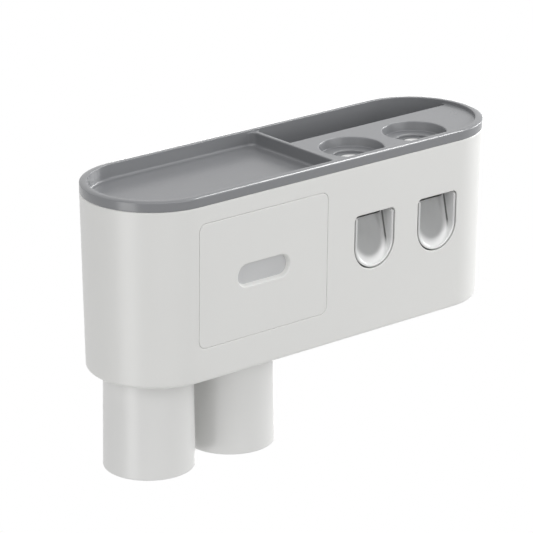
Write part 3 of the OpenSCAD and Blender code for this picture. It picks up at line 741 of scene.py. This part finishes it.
# Push scoops
# Each is moulded in clear styrene: a rounded lip just behind the window's edge, thin walls, and a
# back that leans in towards the top. It swings on two eyes above the window.
SCOOP_GAP, SCOOP_T, SCOOP_BACK, SCOOP_LIP = 1.0, 1.6, 1.8, 0.55
SCOOP_TOP = WINDOW_TOP - SCOOP_GAP
SCOOP_OUTER = WINDOW_HALF - SCOOP_GAP
SCOOP_WALL = SCOOP_OUTER - SCOOP_T
STREAK, STREAK_LONG, STREAK_DEPTH = 7.0, 0.3, 0.12
# Spans of the painted highlight low down, the painted light near the wall and the painted shade in
# the crease, in millimetres.
HIGHLIGHT_FROM, HIGHLIGHT_TO, HIGHLIGHT_RISE = 7.5, 14.0, 7.0
PAINTED_LIGHT_FROM, PAINTED_LIGHT_TO = SCOOP_WALL - 5.5, SCOOP_WALL - 1.2
CREASE_FROM, CREASE_FULL = SCOOP_WALL - 1.35, SCOOP_WALL - 1.0
CREASE_LAST, CREASE_TO, CREASE_RISE = SCOOP_WALL - 0.3, SCOOP_WALL - 0.1, 9.0


def clear_styrene():
    """Clear plastic over a darker inside. Its shades follow spread, the distance from the window's
    middle line and, below the foot of that line, from the foot itself: painted light near the wall,
    where the window's edge casts a shadow on the back, painted shade in the crease between wall and
    back, and a painted highlight low down. Both scoops share it, because aside is measured from
    whichever middle line is nearer."""
    made = Finish("clear_plastic", Transmission_Weight=0.08, IOR=1.49)
    x_at = made.node("SeparateXYZ", {}, made.place, output="X")
    z_at = made.node("SeparateXYZ", {}, made.place, output="Z")
    off = made.math("ABSOLUTE", x_at - sum(WINDOW_XS) / 2 * MM)
    aside = off - (WINDOW_XS[1] - WINDOW_XS[0]) / 2 * MM
    below = made.math("MINIMUM", z_at - WINDOW_ARC * MM, 0.0)
    spread = made.math("SQRT", aside * aside + below * below)
    # Painted highlight: near-white colour low down, for the light that the round foot catches from
    # above.
    painted_highlight = made.ramp(spread, HIGHLIGHT_FROM, HIGHLIGHT_TO)
    painted_highlight = painted_highlight * made.math("MINIMUM", below * (-1 / (HIGHLIGHT_RISE * MM)), 1.0)
    # Painted shade: dark colour in the crease between wall and back, where shade gathers.
    crease = made.ramp(spread, CREASE_FROM, CREASE_FULL) - made.ramp(spread, CREASE_LAST, CREASE_TO)
    crease = crease * made.math("MAXIMUM", below * (1 / (CREASE_RISE * MM)) + 1.0, 0.0)
    streaks = made.noise(STREAK, 1.0, stretch=(1, 1, STREAK_LONG))
    shade = made.blend(streaks, (0.45, 0.455, 0.455), (0.38, 0.385, 0.385))
    # Painted light: paler colour near the wall, against the shadow that the window's edge casts on
    # the back.
    shade = made.blend(made.ramp(spread, PAINTED_LIGHT_FROM, PAINTED_LIGHT_TO), shade, (0.72, 0.725, 0.725))
    shade = made.blend(crease, shade, (0.12, 0.12, 0.12))
    made.color(made.blend(painted_highlight, shade, (0.95, 0.955, 0.95)))
    made.uneven(5.0, 0.10, 0.16)
    made.bump(streaks, STREAK_DEPTH)
    return made


clear_plastic = clear_styrene()
LIP_SINK, LIP_DRAWN, DRAWN_FROM, DRAWN_TO = 0.15, 2.8, 2.4, 0.6
DEPTH_TOP, DEPTH_LOW = 10.8, 2.4
BACK_DROP, DROP_FULL, DROP_END, DROP_Z = 4.0, 12.2, 13.8, 8.0
BACK_EDGE, SIDE_ROUND, ROUND_GROWS = 1.4, 1.2, 4.0
SIDE_STEPS, TURN_STEPS = 14, 40
QUARTER = np.radians(np.linspace(0, 90, 5))
FINE_QUARTER = np.radians(np.linspace(0, 90, 9))


def smooth(value, low, high):
    """Goes from 0 at low to 1 at high with a level start and end."""
    share = np.clip((value - low) / (high - low), 0, 1)
    return share * share * (3 - 2 * share)


def scoop(x):
    """Grid of a U path times a section. The path runs down one side, round the bottom and up the
    other; the section runs from the lip in along the wall and over the back to the middle line."""
    z = np.r_[np.linspace(SCOOP_TOP, WINDOW_ARC, SIDE_STEPS + 1)[:-1],
              np.full(TURN_STEPS + 1, WINDOW_ARC),
              np.linspace(WINDOW_ARC, SCOOP_TOP, SIDE_STEPS + 1)[1:]]
    turn = np.radians(np.r_[np.full(SIDE_STEPS, 180), np.linspace(180, 360, TURN_STEPS + 1),
                            np.full(SIDE_STEPS, 360)])
    out = np.c_[np.cos(turn), np.sin(turn)]
    bottom = np.clip(-out[:, 1], 0, 1) ** 2

    def row(distance, depth_of):
        """One line along the path, a distance out from the middle line. Towards the top and the
        middle it drops by BACK_DROP."""
        distance = np.broadcast_to(distance, z.shape)
        height = z + out[:, 1] * distance
        across = x + out[:, 0] * distance
        drop = BACK_DROP * (1 - smooth(abs(across - x), DROP_FULL, DROP_END))
        height = height - drop * smooth(height, DROP_Z, SCOOP_TOP)
        return np.c_[across, FRONT_Y + depth_of(height), height]

    def lip_front(height):
        """Depth of the lip, which draws back behind the window's upper corners."""
        drawn = smooth(height, WINDOW_TOP - DRAWN_FROM, WINDOW_TOP - DRAWN_TO)
        return lean(height) + LIP_SINK + LIP_DRAWN * drawn

    def lip_end(height):
        """Depth at which the lip's round edges end."""
        return lip_front(height) + SCOOP_LIP

    def back(height):
        """Depth of the leaning back, in a straight line from its foot to its top."""
        share = (height - WINDOW_LOW) / (WINDOW_TOP - WINDOW_LOW)
        return DEPTH_LOW + (DEPTH_TOP - DEPTH_LOW) * share

    def behind(height):
        """Depth of the outside of the back."""
        return back(height) + SCOOP_BACK

    def round_in(height):
        """How far in front of the back its round edge starts: all the way to the lip at the bottom
        of the U."""
        return SIDE_ROUND * (1 - bottom) + (back(height) - lip_end(height)) * bottom

    inner = [row(SCOOP_OUTER - SCOOP_LIP * (1 - math.cos(a)),
                 lambda h: lip_front(h) + SCOOP_LIP * (1 - math.sin(a))) for a in QUARTER]
    inner += [row(SCOOP_WALL + SCOOP_LIP * (1 - math.cos(a)),
                  lambda h: lip_front(h) + SCOOP_LIP * (1 - math.sin(a))) for a in QUARTER[::-1]]
    round_out = SIDE_ROUND + ROUND_GROWS * bottom
    inner += [row(SCOOP_WALL - round_out * (1 - math.cos(a)),
                  lambda h: back(h) - round_in(h) * (1 - math.sin(a))) for a in FINE_QUARTER]
    inner += [row((SCOOP_WALL - round_out) * share, back) for share in np.linspace(1, 0, 9)[1:]]

    outer = [inner[0]]
    outer += [row(SCOOP_OUTER, lambda h: lip_end(h) + (behind(h) - BACK_EDGE - lip_end(h)) * share)
              for share in np.linspace(0, 1, 10)[1:]]
    outer += [row(SCOOP_OUTER - BACK_EDGE * (1 - math.cos(a)),
                  lambda h: behind(h) - BACK_EDGE * (1 - math.sin(a))) for a in FINE_QUARTER]
    outer += [row((SCOOP_OUTER - BACK_EDGE) * share, behind) for share in np.linspace(1, 0, 9)[1:]]
    tops = [sheet([np.array([line[end] for line in side]) for side in (inner, outer)], wrap=False)
            for end in (0, -1)]
    return closed(sheet(inner, wrap=False), sheet(outer, wrap=False), *tops)


PIN_Y, PIN_Z = FRONT_Y + 6.8, WINDOW_TOP + 4.4
EYE, PIN_HOLE, EAR_SINK = 3.2, 1.56, 0.6


def ear(x0, x1):
    """Flat plate with a round eye on top, from x0 to x1 across the pin."""
    foot = SCOOP_TOP - EAR_SINK
    outline = np.vstack([arcs((PIN_Y, PIN_Z, EYE, 0, 180, 16))(),
                         [[PIN_Y - EYE, foot], [PIN_Y + EYE, foot]]])
    hole = circle(PIN_Y, PIN_Z, PIN_HOLE, 32)()

    def place(x):
        """Puts flat points of (y, z) on the plane at x."""
        return lambda spots: np.c_[np.full(len(spots), x), spots]

    return closed(filled([outline, hole], place(x0)), filled([outline, hole], place(x1)),
                  sheet([place(x)(outline) for x in (x0, x1)]),
                  sheet([place(x)(hole) for x in (x0, x1)]))


for side, x in zip(("left", "right"), WINDOW_XS):
    x0, x1 = x - SCOOP_OUTER, x + SCOOP_OUTER
    solids = [scoop(x), ear(x0, x0 + SCOOP_T), ear(x1 - SCOOP_T, x1)]
    piece("scoop_" + side, solids, clear_plastic, "clear_plastic", side + "_scoop",
          "push_scoop_" + side)


# Squeeze bulbs
# A hollow silicone dome on a flat foot behind each scoop, which the scoop flattens as it swings in;
# here the dome keeps its full shape.
# BULB_KEPT is the share of its height that a bulb keeps at the hinge's limit.
BULB_FOOT, BULB_FOOT_ROUND, BULB_STEP, BULB_T, BULB_KEPT = 1.2, 0.4, 0.6, 1.4, 0.45
for side in ("left", "right"):
    low, high = box_of("pump_bulb_" + side)
    (x, _, z), radius, foot_y = (low + high) / 2, (high[0] - low[0]) / 2, high[1]
    rise = np.radians(np.linspace(0, 90, 13))
    dome_r, dome_h = radius - BULB_STEP, foot_y - BULB_FOOT - low[1]
    hollow_r, hollow_h = dome_r - BULB_T, dome_h + BULB_FOOT - BULB_T
    dome = np.c_[dome_r * np.cos(rise), foot_y - BULB_FOOT - dome_h * np.sin(rise)].tolist()
    hollow = np.c_[hollow_r * np.cos(rise), foot_y - hollow_h * np.sin(rise)].tolist()
    foot = [(radius, foot_y)] + bend(radius - BULB_FOOT_ROUND, foot_y - BULB_FOOT + BULB_FOOT_ROUND,
                                     BULB_FOOT_ROUND, 0, -90)
    bulb_solid = closed(turned_across(x, z, hollow[::-1] + foot + dome))
    bulb = piece("bulb_" + side, [bulb_solid], silicone, "silicone", "housing", "pump_bulb_" + side)
    side + "_scoop_hinge"
    x * MM
    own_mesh(bulb)


# Cups
# Thin white tumblers that hang with the open end down. A steel disc in the closed end holds each
# one to the magnet above its socket.
cup_plastic = satin_plastic("cup_plastic", (0.80, 0.80, 0.79), (0.785, 0.785, 0.775), 0.34, 0.008)
CUP_RIM, CUP_BASE, CUP_T, CUP_BASE_T = 28.7, 27.5, 1.8, 3.0
DISC_POCKET, DISC_T = 12.1, 1.0
CUP_LOW, CUP_TOP = box_of("cup_left")[:, 2]
CUP_EDGE, CUP_SHOULDER, CUP_FOOT, CUP_MOUTH, CUP_STEPS = 0.85, 2.5, 2.0, 2.0, 128


def cup_radius(z):
    """Outer radius at height z, in a straight line from the rim to the closed end."""
    return CUP_RIM + (CUP_BASE - CUP_RIM) * (z - CUP_LOW) / (CUP_TOP - CUP_LOW)


mouth_z = CUP_LOW + CUP_MOUTH
shoulder_z, foot_z = CUP_TOP - CUP_SHOULDER, CUP_TOP - CUP_BASE_T - CUP_FOOT
tumbler = bend(CUP_RIM - CUP_EDGE, CUP_LOW + CUP_EDGE, CUP_EDGE, 270, 360, 6)
tumbler += [(cup_radius(mouth_z), mouth_z)]
tumbler += [(cup_radius(shoulder_z - SUPPORT), shoulder_z - SUPPORT)]
tumbler += bend(cup_radius(shoulder_z) - CUP_SHOULDER, shoulder_z, CUP_SHOULDER, 0, 90, 6)
tumbler += [(DISC_POCKET, CUP_TOP), (DISC_POCKET, CUP_TOP - DISC_T), (0, CUP_TOP - DISC_T)]
hollow = [(0, foot_z + CUP_FOOT)]
hollow += bend(cup_radius(foot_z) - CUP_T - CUP_FOOT, foot_z, CUP_FOOT, 90, 0, 6)
hollow += [(cup_radius(mouth_z) - CUP_T, mouth_z)]
hollow += bend(CUP_RIM - CUP_T + CUP_EDGE, CUP_LOW + CUP_EDGE, CUP_EDGE, 180, 270, 6)
for side, x in zip(("left", "right"), CUP_XS):
    cup = closed(turned(x, MID_Y, hollow + tumbler, CUP_STEPS))
    piece("cup_" + side, [cup], cup_plastic, "cup_plastic", side + "_cup", "cup_" + side)


# Wall plate
# A flat plastic plate stuck to the wall by a foam pad. Its two headed hooks enter the keyholes,
# and two rubber bumpers keep the foot of the body off the wall.
plate_low, plate_high = box_of("wall_plate")
pad_low, pad_high = box_of("adhesive_pad")
PLATE_T, PLATE_CORNER, PLATE_EDGE = 3.0, 8.0, 0.8
PAD_INSET, PAD_EDGE = 2, 0.2
PLATE_Y0, PLATE_Y1 = pad_low[1] - PLATE_T, pad_low[1]
plate = round_rect(0, 0, plate_high[0] - plate_low[0], plate_high[2] - plate_low[2], PLATE_CORNER)
pad = round_rect(0, 0, pad_high[0] - pad_low[0], pad_high[2] - pad_low[2],
                 PLATE_CORNER - PAD_INSET)


def slab(outline, y0, y1, edge):
    """Plate along the wall from y0 to y1 whose front edge is rounded."""
    side = bend(edge, y0 + edge, edge, 270, 180) + [(0, y1)]
    return closed(sheet([upright(y)(outline(inset)) for inset, y in side]),
                  filled([outline(edge)], upright(y0)), filled([outline()], upright(y1)))


NECK, NECK_SINK = 3.0, 1
HEAD, HEAD_T, HEAD_EDGE, HEAD_BACK_EDGE = 5.5, 2.2, 0.6, 0.3
head_y, neck_y = plate_low[1], plate_low[1] + HEAD_T
hook = [(0, head_y)] + bend(HEAD - HEAD_EDGE, head_y + HEAD_EDGE, HEAD_EDGE, 270, 360)
hook += bend(HEAD - HEAD_BACK_EDGE, neck_y - HEAD_BACK_EDGE, HEAD_BACK_EDGE, 0, 90)
hook += [(NECK, neck_y), (NECK, PLATE_Y0 + NECK_SINK), (0, PLATE_Y0 + NECK_SINK)]
solids = [slab(plate, PLATE_Y0, PLATE_Y1, PLATE_EDGE)]
solids += [closed(turned_across(side * HOOK_X, HOOK_Z, hook)) for side in (-1, 1)]
piece("wall_plate", solids, inner_plastic, "inner_plastic", "wall", "wall_plate")

foam = satin_plastic("foam", (0.075, 0.076, 0.08), (0.06, 0.061, 0.064), 0.85, 0.06)
pad_solid = slab(pad, PLATE_Y1, 0.0, PAD_EDGE)
piece("adhesive_pad", [pad_solid], foam, "adhesive", "wall", "adhesive_pad")

grey_rubber = satin_plastic("grey_rubber", (0.13, 0.13, 0.13), (0.115, 0.115, 0.115), 0.7, 0.02)
BUMPER_ROUND = 0.8
bumper = [(0, BACK_Y), (BUMPER, BACK_Y)]
bumper += bend(BUMPER - BUMPER_ROUND, -BUMPER_ROUND, BUMPER_ROUND, 0, 90) + [(0, 0)]
for side, x in (("left", -BUMPER_X), ("right", BUMPER_X)):
    bumper_solid = closed(turned_across(x, BUMPER_Z, bumper))
    piece("bumper_" + side, [bumper_solid], grey_rubber, "grey_rubber", "housing",
          "wall_bumper_" + side)


# Parts inside
# Pumps, bay, runners, pins, screws, discs and magnets keep their solids from the frame and get
# the finishes of moulded plastic, silicone, turned steel and nickel plate.
slick_plastic = satin_plastic("slick_plastic", (0.5, 0.51, 0.52), (0.48, 0.49, 0.5), 0.25, 0.006)
steel = Finish("steel", Metallic=1.0)
steel.color(steel.blend(steel.noise(7.0), (0.56, 0.56, 0.55), (0.48, 0.48, 0.48)))
steel.uneven(0.8, 0.22, 0.42, stretch=(6, 1, 1))
steel.bump(steel.noise(0.5, 1.0, stretch=(8, 1, 1)), 0.01)
nickel = Finish("nickel", Metallic=1.0)
nickel.color(nickel.blend(nickel.noise(5.0), (0.62, 0.60, 0.57), (0.56, 0.545, 0.52)))
nickel.uneven(2.0, 0.14, 0.24)
nickel.bump(nickel.noise(0.9, 1.0), 0.004)
inside_finishes = {
    "drawer_bay": inner_plastic, "pump_body": inner_plastic, "magnet_cap": inner_plastic,
    "runner": slick_plastic, "outlet_valve": silicone,
    "hinge_pin": steel, "pump_screws": steel, "cup_disc": steel, "magnet": nickel}
for node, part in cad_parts.items():
    kind = node.replace("_left", "").replace("_right", "")
    if kind in inside_finishes:
        part.data.materials.clear()
        part.data.materials.append(inside_finishes[kind].material)


# Floor
# A plain pale floor well below the hanging object. It is stage, and no part of the object.
FLOOR_DROP, FLOOR_WIDE = 0.6, 0.7
floor_paint = satin_plastic("floor_paint", (0.82, 0.82, 0.81), (0.79, 0.79, 0.78), 0.7, 0.05)
disc = circle(0, MID_Y, FLOOR_WIDE / MM)()
floor_mesh = bpy.data.meshes.new("floor")
floor_mesh.from_pydata((level(disc, -FLOOR_DROP / MM) * MM).tolist(), [], [list(range(len(disc)))])
floor_mesh.materials.append(floor_paint.material)
floor = bpy.data.objects.new("floor", floor_mesh)
bpy.context.scene.collection.objects.link(floor)
